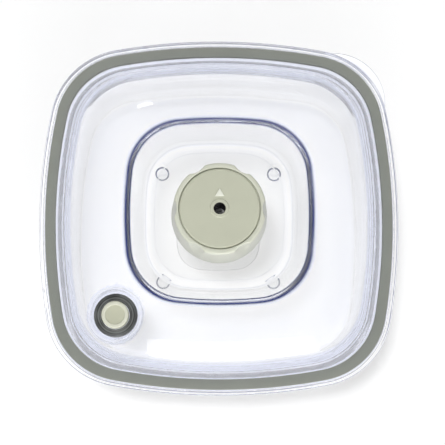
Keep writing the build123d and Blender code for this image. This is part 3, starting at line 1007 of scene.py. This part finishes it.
@dataclass
class Lid:
    """The clear lid: skirt, plug wall, dome, square recess, seat ring, release well and corner tab."""

    half: float = 90.0
    top: float = 51.0
    under: float = 48.8
    skirt_inner: float = 88.2
    skirt_low: float = 45.0
    plug_outer: float = 78.4
    plug_inner: float = 76.2
    plug_hollow: float = 74.66
    plug_low: float = 42.0
    gutter: float = 47.6
    shell_run: float = 1.54
    shell_drop: float = 1.98
    crest: float = 62.0
    crest_outer: float = 46.4
    crest_inner: float = 44.2
    crest_round: float = 0.9
    crest_drop: float = 1.5
    wall: float = 2.2
    meeting: float = 59.86
    floor_half: float = 37.1
    floor: float = 44.5
    floor_under: float = 42.3
    step_half: float = 32.5
    step: float = 0.4
    seat_outer: float = 15.8
    seat_inner: float = 14.2
    seat_top: float = 50.5
    bore: float = 3.06
    boss: float = 4.96
    boss_low: float = 38.5
    runs: tuple[float, ...] = (0.0, 0.12, 0.34, 0.64, 1.0)
    rises: tuple[float, ...] = (0.0, 0.30, 0.64, 0.90, 1.0)
    dome_stop: float = 47.2
    dome_steps: int = 6
    well_outer: float = 13.6
    well_inner: float = 12.0
    well_floor: float = 49.51
    well_under: float = 47.3
    well_top: float = 54.0
    tab_half: float = 85.3
    tab_corner: float = 26.0
    tab_low: float = 45.06
    tab_high: float = 46.6
    tab_root: float = 0.9
    tab_from: float = 50.0
    tab_steps: int = 24
    tab_root_steps: int = 64
    pocket_place: float = 10.96
    pocket_outer: float = 6.06
    pocket_inner: float = 4.8
    pocket_low: float = 37.9
    post_radius: float = 2.6
    post_low: float = 32.0
    root: float = 0.6
    # Shares of the wall attribute: painted dark edge lines along the crest, the collar, the tab and the
    # skirt, and the plastic's own blue tint.
    crest_blue: float = 0.34
    collar_blue: float = 0.04
    collar_edge_blue: float = 0.26
    skirt_blue: float = 0.5
    skirt_foot_blue: float = 0.7
    skirt_sole_blue: float = 0.1
    plug_blue: float = 0.3
    tab_blue: float = 0.03
    # Painted shade on the recess floor round the knob, most along its steps.
    floor_painted_shade: float = 0.57
    step_painted_shade: float = 0.8

    def build(self, workshop: Workshop) -> None:
        """Make the lid and keep it."""
        workshop.keep(self.mesh(), Body.LID, Slot.CLEAR_LID, "lid_shell")

    def dome(self, drop: float, run: float, stop: float) -> list[Corner]:
        """Return points up the dome from the plug wall to the crest.

        Args:
            drop: how far they stand below its outer face.
            run: how far they stand inside it.
            stop: the half width where they end.

        Returns:
            The points, evenly spread along a smooth curve through the dome's places.
        """
        wide = self.plug_inner - self.crest_outer
        rise = self.crest - self.gutter
        places = [
            Vector((self.plug_inner - wide * share - run, self.gutter + rise * lift - drop))
            for share, lift in zip(self.runs, self.rises)
        ]
        chain = [places[0] * 2 - places[1]] + places + [places[-1] * 2 - places[-2]]
        result = []
        for before, start, end, after in zip(chain, chain[1:], chain[2:], chain[3:]):
            for step in range(self.dome_steps):
                share = step / self.dome_steps
                square, cube = share**2, share**3
                point = (
                    start * (2 * cube - 3 * square + 1)
                    + (end - before) / 2 * (cube - 2 * square + share)
                    + end * (3 * square - 2 * cube)
                    + (after - start) / 2 * (cube - square)
                )
                if point.x > stop:
                    result.append(Corner(point.x, point.y))
        return result

    def section(self) -> list[Corner]:
        """Return the lid's closed section, out over the top and back along the underside."""
        slope = (self.crest_inner - self.floor_half) / (self.crest - self.floor)
        wall_low = self.floor_half + self.wall
        wall_out = wall_low + (self.meeting - self.floor_under) * slope
        step_level = self.floor - self.step
        middle = circles(
            (self.bore, self.boss_low, 0.2),
            (self.bore, self.floor, 0.2),
            (self.seat_inner, self.floor, 0.3),
            (self.seat_inner, self.seat_top, 0.3),
            (self.seat_outer, self.seat_top, 0.3),
            (self.seat_outer, step_level, 0.5),
        )
        recess = [
            Corner(self.step_half, step_level, 0.15),
            Corner(self.step_half + self.step, self.floor, 0.3),
            Corner(self.floor_half, self.floor, 2.2),
            Corner(self.crest_inner - self.crest_drop * slope, self.crest - self.crest_drop),
            Corner(self.crest_inner, self.crest, self.crest_round),
            Corner(self.crest_outer, self.crest, self.crest_round),
        ]
        down = list(reversed(self.dome(0.0, 0.0, self.dome_stop)))
        down[-1].round = 0.5
        rim = [
            Corner(self.plug_inner, self.top, 0.5),
            Corner(self.half, self.top, 0.8),
            Corner(self.half, self.skirt_low, 0.5),
            Corner(self.skirt_inner, self.skirt_low, 0.5),
            Corner(self.skirt_inner, self.under, 0.2),
            Corner(self.plug_outer, self.under, 0.4),
            Corner(self.plug_outer, self.plug_low, 0.8),
            Corner(self.plug_hollow, self.plug_low, 0.8),
        ]
        up = self.dome(self.shell_drop, self.shell_run, wall_out + self.root)
        wall = [Corner(wall_out, self.meeting, 0.5), Corner(wall_low, self.floor_under, 1.6)]
        boss = circles((self.boss, self.floor_under, 0.4), (self.boss, self.boss_low, 0.3))
        return middle + recess + down + rim + up + wall + boss

    def tab_outline(self) -> list[Place]:
        """Return the corner tab's outline, with its inner side inside the skirt's wall."""
        centre = self.tab_half - self.tab_corner
        points = []
        for step in range(self.tab_steps + 1):
            angle = math.pi / 2 * step / self.tab_steps
            points.append(tuple(centre + self.tab_corner * turn(angle) for turn in (math.cos, math.sin)))
        inner = self.half - self.tab_root
        for step in range(self.tab_root_steps, -1, -1):
            angle = math.pi / 2 * step / self.tab_root_steps
            away = inner * reach(angle, inner)
            point = (away * math.cos(angle), away * math.sin(angle))
            if max(point) < self.tab_half:
                points.append(point)
        return points

    def well(self, radius: float, low: float, high: float, soft: float) -> Mesh:
        """Return a round solid that stands in the release well's place."""
        section = circles((0.0, low), (radius, low), (radius, high, soft), (0.0, high))
        return lathe("well", section, closed=False, steps=96, centre=WELL_PLACE)

    def under_parts(self) -> Mesh:
        """Return the valve pocket and the screw posts under the recess."""
        low = self.floor_under + self.root
        outer, inner, foot = self.pocket_outer, self.pocket_inner, self.pocket_low
        pocket = circles((inner, low), (outer, low), (outer, foot, 0.3), (inner, foot, 0.3))
        pocket = lathe("pocket", pocket, steps=64, centre=(0.0, self.pocket_place))
        radius, foot = self.post_radius, self.post_low
        post = circles((0.0, low), (radius, low), (radius, foot, 0.3), (0.0, foot))
        post = lathe("posts", post, closed=False, steps=32)
        posts = CopyRing().run(post, Count=SCREW_COUNT, Radius=HOUSING_CIRCLE * MM, Start=SCREW_START)
        return gathered("under parts", [pocket, posts])

    def mesh(self) -> Mesh:
        """Return the lid's mesh."""
        shell = lathe("clear_lid", self.section(), arcs=5)
        solid = [Corner(0.0, self.crest)] + list(reversed(self.dome(0.0, 0.0, 0.0)))
        solid += [Corner(self.plug_inner, self.plug_low), Corner(0.0, self.plug_low)]
        column = self.well(self.well_outer - 0.03, self.well_under, self.crest + 1.0, 0.0)
        collar = joined(column, lathe("dome core", solid, closed=False), Join.INTERSECT)
        for part, way in (
            (collar, Join.UNION),
            (self.well(self.well_outer, self.well_under, self.well_top, 0.5), Join.UNION),
            (self.well(self.well_inner, self.well_floor, self.crest + 2.0, 0.0), Join.DIFFERENCE),
            (prism("tab", self.tab_outline(), self.tab_low, self.tab_high, 0.35), Join.UNION),
            (self.under_parts(), Join.UNION),
        ):
            shell = joined(shell, part, way)
        shell.name = "clear_lid"
        marked(shell, "frost_and_shade", self.frost_and_shade_share)
        return shaded(marked(shell, "wall", self.tint_and_edge_line_share))

    def tint_and_edge_line_share(self, point: Vector) -> float:
        """Return how blue the lid looks at a point: painted dark edge lines along the crest, the well's
        collar, the tab and the skirt, and the plastic's own tint in the plug wall.
        """
        half = half_width(point)
        if point.z > self.crest - 0.7 and self.crest_inner - 0.35 < half < self.crest_outer + 0.25:
            lines = max(near(half, self.crest_inner + 0.15, 0.6), near(half, self.crest_outer - 0.1, 0.75))
            return self.crest_blue + (1.0 - self.crest_blue) * lines**2
        well = apart(point, WELL_PLACE)
        if self.well_inner - 0.2 < well < self.well_outer + 0.2:
            edges = max(near(well, self.well_outer, 0.3), near(well, self.well_inner, 0.25))
            return self.collar_blue + self.collar_edge_blue * edges
        if min(point.x, point.y) > self.tab_from and half > self.half + 0.1:
            middle = self.tab_half - self.tab_corner
            edge = apart(point, (middle, middle)) > self.tab_corner - 0.2
            return self.skirt_blue if edge else self.tab_blue
        if half > self.half - 0.2 and point.z > self.skirt_low + 0.4:
            return self.skirt_blue
        if half > self.skirt_inner - 0.1 and point.z < self.skirt_low + 0.25:
            edge = half > self.half - 0.5 or half < self.skirt_inner + 0.5
            return self.skirt_foot_blue if edge else self.skirt_sole_blue
        if self.plug_hollow - 0.2 < half < self.plug_outer + 0.2:
            return self.plug_blue
        return 0.0

    def frost_and_shade_share(self, point: Vector) -> float:
        """Return how grey the lid is at a point: painted shade on the floor of its recess round the knob,
        most along its steps.
        """
        half = half_width(point)
        if not self.floor_under < point.z < self.floor + 2.5 or half > self.crest_inner:
            return 0.0
        steps = max(near(half, self.step_half + 0.3, 0.7), near(half, self.floor_half + 0.25, 0.7))
        return max(self.step_painted_shade * steps, self.floor_painted_shade if half < self.step_half + 0.1 else 0.0)


@dataclass
class Gasket:
    """The grey-green ring between the lid and the rim, with a groove between two beads below."""

    outer: float = 87.2
    inner: float = 82.1
    under: float = 46.52
    top: float = 48.76
    groove: float = 1.4
    groove_depth: float = 0.5

    def build(self, workshop: Workshop) -> None:
        """Make the gasket and keep it."""
        middle = (self.outer + self.inner) / 2
        left, right = middle - self.groove / 2, middle + self.groove / 2
        section = [
            Corner(self.inner, self.under, 0.35),
            Corner(self.inner, self.top, 0.25),
            Corner(self.outer, self.top, 0.25),
            Corner(self.outer, self.under, 0.35),
            Corner(right, self.under, 0.2),
            Corner(right, self.under + self.groove_depth, 0.2),
            Corner(left, self.under + self.groove_depth, 0.2),
            Corner(left, self.under, 0.2),
        ]
        ring = shaded(lathe("gasket_ring", section))
        workshop.keep(ring, Body.LID, Slot.GASKET, "lid_gasket")


@dataclass
class GripRing(Corner):
    """A ring round the grip's side, or over the round at its top."""

    knob: Optional["Knob"] = None
    over: float = 0.0

    def place(self, angle: float) -> Place:
        """Return the ring's radius and height at an angle."""
        knob = self.knob
        edge = knob.edge(angle)
        if self.over <= 0.0:
            height = knob.under + (knob.top - edge - knob.under) * self.height
            return knob.side(angle, height), height
        turn = self.over * math.pi / 2
        side = knob.side(angle, knob.top - edge)
        return side - edge * (1.0 - math.cos(turn)), knob.top - edge * (1.0 - math.sin(turn))


@dataclass
class Knob:
    """The selector knob: scooped grip, face with its arrow and port boss, and the port's black sleeve."""

    under: float = 45.1
    top: float = 67.0
    radius: float = 24.2
    top_radius: float = 22.67
    wall: float = 6.2
    deck_under: float = 62.8
    deck_top: float = 65.0
    tube: float = 6.1
    edge_round: float = 1.2
    side_rows: int = 28
    edge_rows: int = 6
    scoops: int = 6
    scoop_radius: float = 8.0
    scoop_reach: float = 20.97
    scoop_foot: float = 49.1
    scoop_soft: float = 0.35
    face_radius: float = 19.77
    face_groove: float = 0.4
    boss_radius: float = 4.4
    boss_top: float = 67.5
    mouth: float = 2.95
    socket: float = 4.0
    sleeve_top: float = 66.5
    sleeve_under: float = 53.2
    sleeve_outer: float = 3.9
    sleeve_inner: float = 2.5
    sleeve_drop: float = 0.02
    arrow_place: float = 7.9
    arrow_width: float = 4.7
    arrow_length: float = 4.0
    arrow_height: float = 0.4
    arrow_root: float = 0.3

    def side(self, angle: float, height: float) -> float:
        """Return the radius of the scooped side at an angle and a height."""
        share = (height - self.under) / (self.top - self.under)
        skirt = self.radius + (self.top_radius - self.radius) * share
        lean = (self.radius - self.scoop_reach) / (self.top - self.scoop_foot)
        distance = self.scoop_reach + self.scoop_radius + (self.top - height) * lean
        pitch = 2 * math.pi / self.scoops
        turn = (angle + pitch / 2) % pitch - pitch / 2
        across = distance * math.sin(turn)
        if abs(across) >= self.scoop_radius:
            return skirt
        scoop = distance * math.cos(turn) - math.sqrt(self.scoop_radius**2 - across**2)
        share = min(1.0, max(0.0, 0.5 + 0.5 * (scoop - skirt) / self.scoop_soft))
        return scoop + (skirt - scoop) * share - self.scoop_soft * share * (1.0 - share)

    def edge(self, angle: float) -> float:
        """Return how large the round at the top of the side is at an angle."""
        room = self.side(angle, self.top) - self.face_radius - self.face_groove
        return min(self.edge_round, 0.55 * room)

    def grip(self) -> Mesh:
        """Return the grip's mesh."""
        seat = self.face_radius + self.face_groove
        side = [GripRing(self.radius, row / self.side_rows, knob=self) for row in range(self.side_rows + 1)]
        shares = [row / self.edge_rows for row in range(1, self.edge_rows + 1)]
        over = [GripRing(self.radius, 1.0, knob=self, over=share) for share in shares]
        inside = circles(
            (seat + 0.45, self.top),
            (seat + 0.13, self.top - 0.13),
            (seat, self.top - 0.45),
            (seat, self.deck_top),
            (self.tube, self.deck_top),
            (self.tube, self.deck_under),
            (self.radius - self.wall, self.deck_under),
            (self.radius - self.wall, self.under),
        )
        return shaded(lathe("scooped_grip", side + over + inside, steps=480))

    def face(self) -> Mesh:
        """Return the face with its boss and arrow."""
        section = circles(
            (self.socket, self.deck_top),
            (self.socket, self.sleeve_top),
            (self.mouth, self.sleeve_top),
            (self.mouth, self.boss_top, 0.3),
            (self.boss_radius, self.boss_top, 0.3),
            (self.boss_radius + 0.25, self.top, 0.3),
            (self.face_radius, self.top, 0.9),
            (self.face_radius, self.deck_top),
        )
        disc = lathe("knob_disc", section, steps=192)
        low = self.arrow_place - self.arrow_length / 2
        half = self.arrow_width / 2
        outline = [(-half, low), (half, low), (0.0, low + self.arrow_length)]
        arrow = prism("arrow", outline, self.top - self.arrow_root, self.top + self.arrow_height, 0.18)

        def on_arrow(point: Vector) -> float:
            """Return 1 on the arrow, and 0 elsewhere."""
            raised = point.z > self.top + 0.1 and point.y > low - 0.1
            return 1.0 if raised and apart(point, MIDDLE) > self.boss_radius + 0.6 else 0.0

        return shaded(marked(gathered("knob_disc", [disc, arrow]), "mark", on_arrow), 30.0)

    def sleeve(self) -> Mesh:
        """Return the port's sleeve."""
        top = self.sleeve_top - self.sleeve_drop
        section = circles(
            (self.sleeve_inner, self.sleeve_under, 0.2),
            (self.sleeve_outer, self.sleeve_under, 0.2),
            (self.sleeve_outer, top, 0.2),
            (self.sleeve_inner, top, 0.5),
        )
        return shaded(lathe("port_sleeve", section, steps=96))

    def build(self, workshop: Workshop) -> None:
        """Make the knob's pieces and keep them."""
        workshop.keep(self.grip(), Body.KNOB, Slot.GRIP, "knob_grip")
        workshop.keep(self.face(), Body.KNOB, Slot.FACE, "knob_face")
        workshop.keep(self.sleeve(), Body.KNOB, Slot.BLACK_RUBBER, "port_seal")


@dataclass
class Release:
    """The release valve: dished button with its stem, on its spring in a soft grommet."""

    grommet_inner: float = 6.9
    grommet_outer: float = 10.8
    grommet_under: float = 49.52
    grommet_top: float = 52.5
    radius: float = 6.7
    under: float = 51.53
    top: float = 57.0
    travel: float = 2.0
    wound: Spring = Spring(
        "button_spring",
        "release_spring",
        Body.LID,
        low=49.6,
        high=54.9,
        radius=4.3,
        wire=0.3,
        turns=3.0,
        place=WELL_PLACE,
    )
    inside: float = 5.2
    inside_top: float = 55.0
    dish: float = 5.0
    dish_depth: float = 0.7
    dish_wall: float = 0.45
    bowl_depth: float = 0.25
    bowl_rows: int = 8
    stem: float = 2.2
    neck: float = 1.4
    clip_top: float = 44.7
    clip_low: float = 43.9
    stem_end: float = 42.9

    def button(self) -> Mesh:
        """Return the button's mesh."""
        deep = self.dish - self.dish_wall
        ball = (deep**2 + self.bowl_depth**2) / (2 * self.bowl_depth)
        middle = self.top - self.dish_depth + ball
        bowl = [deep * row / self.bowl_rows for row in range(self.bowl_rows + 1)]
        places = [(radius, middle - math.sqrt(ball**2 - radius**2)) for radius in bowl]
        places += [
            (self.dish, self.top, 0.25),
            (self.radius, self.top, 0.8),
            (self.radius, self.under, 0.2),
            (self.inside, self.under, 0.2),
            (self.inside, self.inside_top, 0.4),
            (self.stem, self.inside_top, 0.3),
            (self.stem, self.clip_top),
            (self.neck, self.clip_top),
            (self.neck, self.clip_low),
            (self.stem, self.clip_low),
            (self.stem, self.stem_end, 0.4),
            (0.0, self.stem_end),
        ]
        button = lathe("dished_button", circles(*places), closed=False, steps=128, centre=WELL_PLACE)

        def on_rim(point: Vector) -> float:
            """Return 1 on the rim round the dish, and 0 elsewhere."""
            return 1.0 if point.z > self.top - 0.25 and apart(point, WELL_PLACE) > self.dish - 0.1 else 0.0

        return shaded(marked(button, "mark", on_rim))

    def grommet(self) -> Mesh:
        """Return the grommet's mesh."""
        section = circles(
            (self.grommet_inner, self.grommet_under, 0.2),
            (self.grommet_inner, self.grommet_top, 0.6),
            (self.grommet_outer, self.grommet_top, 1.1),
            (self.grommet_outer, self.grommet_under, 0.3),
        )
        return shaded(lathe("soft_grommet", section, steps=128, centre=WELL_PLACE))

    def spring(self, workshop: Workshop) -> None:
        """Wind the spring, which stands in the well under the button."""
        wound = self.wound
        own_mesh(wound.build(workshop))

    def build(self, workshop: Workshop) -> None:
        """Make the button, the grommet and the spring and keep them."""
        workshop.keep(self.button(), Body.RELEASE, Slot.BUTTON, "release_button")
        workshop.keep(self.grommet(), Body.LID, Slot.GREY_RUBBER, "release_grommet")
        self.spring(workshop)


@dataclass(frozen=True)
class Lamp:
    """A square soft lamp that faces the canister, seen or not in what mirrors it."""

    name: str
    place: tuple[float, float, float]
    size: float
    power: float
    mirrored: bool
    aim: tuple[float, float, float] = (0.0, 0.0, 0.03)

    def build(self) -> None:
        """Add the lamp."""
        light = bpy.data.lights.new(self.name, "AREA")
        light.shape = "SQUARE"
        light.size = self.size
        light.energy = self.power
        lamp = added(self.name, light)
        lamp.location = self.place
        lamp.rotation_euler = (Vector(self.aim) - Vector(self.place)).to_track_quat("-Z", "Y").to_euler()
        lamp.visible_glossy = self.mirrored
        lamp.visible_transmission = False


@dataclass
class Studio:
    """The pale floor, the soft lights and the camera."""

    distance: float = 0.5891
    tilt: float = 9.42
    lean: float = 0.867
    lens: float = 94.32
    sensor: float = 36.0
    aim: tuple[float, float, float] = (0.001689, -0.003410, 0.045)
    lamps: tuple[Lamp, ...] = (
        Lamp("key", (-0.27, 0.12, 1.8), size=0.3, power=17.0, mirrored=False),
        Lamp("fill", (0.2, -1.6, 0.6), size=1.2, power=21.0, mirrored=True),
        Lamp("spark", (-0.35, 1.0, 1.1), size=0.16, power=1.2, mirrored=True),
    )
    floor_half: float = 3.0
    floor_level: float = -0.0001
    paper: float = 0.945
    paper_roughness: float = 0.9
    floor_glow: float = 0.2
    floor_white: float = 1.4
    far_start: float = 0.25
    far_width: float = 0.6
    through_glow: float = 0.42
    through_white: Colour = (1.58, 1.57, 1.52, 1.0)
    mirrored_glow: float = 0.75
    world_glow: float = 0.27
    patch_scale: float = 1.6
    patch_start: float = 0.42
    patch_gain: float = 6.0
    patch_low: float = 0.3
    patch_high: float = 1.05

    def build(self) -> None:
        """Make the floor, the lights, the world and the camera."""
        self.floor()
        for lamp in self.lamps:
            lamp.build()
        self.room()
        self.camera()

    def floor(self) -> None:
        """Make a white floor, which glows where the camera looks far off or through the canister."""
        mesh = bpy.data.meshes.new("floor")
        turns = ((-1, -1), (1, -1), (1, 1), (-1, 1))
        corners = [(self.floor_half * x, self.floor_half * y, self.floor_level) for x, y in turns]
        mesh.from_pydata(corners, [], [(0, 1, 2, 3)])
        floor = added("floor", mesh)
        shader = Shader("white paper floor")
        paper = shader.node("BsdfPrincipled", Base_Color=grey(self.paper), Roughness=self.paper_roughness)
        path = shader.node("LightPath")
        through = shader.out(path, "Is Transmission Ray")
        mirrored = shader.out(path, "Is Glossy Ray") * (1.0 - through)
        white = shader.mixed(grey(self.floor_white), self.through_white, through)
        glow = shader.node("Emission", Color=white, Strength=1.0)
        camera = shader.out(path, "Is Camera Ray")
        far = ((shader.away(MIDDLE) - self.far_start) * (1.0 / self.far_width)).clamped()
        shine = camera * self.floor_glow + through * self.through_glow + mirrored * self.mirrored_glow
        shine = (shine + (camera + through) * far).clamped()
        mesh.materials.append(shader.finish(shader.blend(paper, glow, shine)))

    def room(self) -> None:
        """Make an even world, which has bright and dim patches in what mirrors it."""
        world = bpy.data.worlds.new("studio")
        room = Shader(world)
        background = world.node_tree.nodes["Background"]
        background.inputs["Color"].default_value = grey(1.0)
        place = room.out(room.node("TexCoord"), "Generated")
        patches = room.out(room.node("TexNoise", Vector=place, Scale=self.patch_scale, Detail=1.0), "Fac")
        patches = ((patches - self.patch_start) * self.patch_gain).clamped()
        patches = patches * (self.patch_high - self.patch_low) + self.patch_low
        path = room.node("LightPath")
        glossy = room.out(path, "Is Glossy Ray") * (1.0 - room.out(path, "Is Transmission Ray"))
        seen = room.out(path, "Is Camera Ray") * (1.0 - self.world_glow)
        strength = glossy * (patches - self.world_glow) + seen + self.world_glow
        plug(world.node_tree, background.inputs["Strength"], strength)
        bpy.context.scene.world = world

    def camera(self) -> None:
        """Add the camera over the lid, a little to its near side."""
        tilt, lean = math.radians(self.tilt), math.radians(self.lean)
        back = Vector((-math.sin(lean), -math.sin(tilt) * math.cos(lean), math.cos(tilt) * math.cos(lean)))
        side = Vector((0.0, 1.0, 0.0)).cross(back).normalized()
        turn = Matrix((side, back.cross(side), back)).transposed()
        data = bpy.data.cameras.new("camera")
        data.lens = self.lens
        data.sensor_width = self.sensor
        camera = added("camera", data)
        camera.location = Vector(self.aim) + self.distance * back
        camera.rotation_euler = turn.to_euler()
        bpy.context.scene.camera = camera


def main() -> None:
    """Build the studio and dress every node."""
    logging.basicConfig(level=logging.INFO)
    bpy.context.scene.view_settings.view_transform = "Standard"
    Studio().build()
    workshop = Workshop(Finishes())
    Vessel().build(workshop)
    Lid().build(workshop)
    Gasket().build(workshop)
    Knob().build(workshop)
    Release().build(workshop)
    Screws(
        "knob_screw_ring", "knob_screws", Body.KNOB, 9.9, seat=65.0, shank=8.0, upwards=False
    ).build(workshop)
    Screws(
        "housing_screw_ring", "housing_screws", Body.LID, HOUSING_CIRCLE, seat=29.3, shank=8.5, upwards=True
    ).build(workshop)
    Spring(
        "wound_spring", "spindle_spring", Body.KNOB, low=33.0, high=38.4, radius=3.85, wire=0.33, turns=4.0
    ).build(workshop)
    slots = {entry["node"]: Slot(entry["material_slot"]) for entry in frame["record"]["subparts"]}
    for node, piece in frame["nodes"].items():
        if node not in workshop.kept:
            workshop.finishes.dress(piece, slots[node])
            LOG.info("dressed %s", node)


if __name__ == "__main__":
    main()
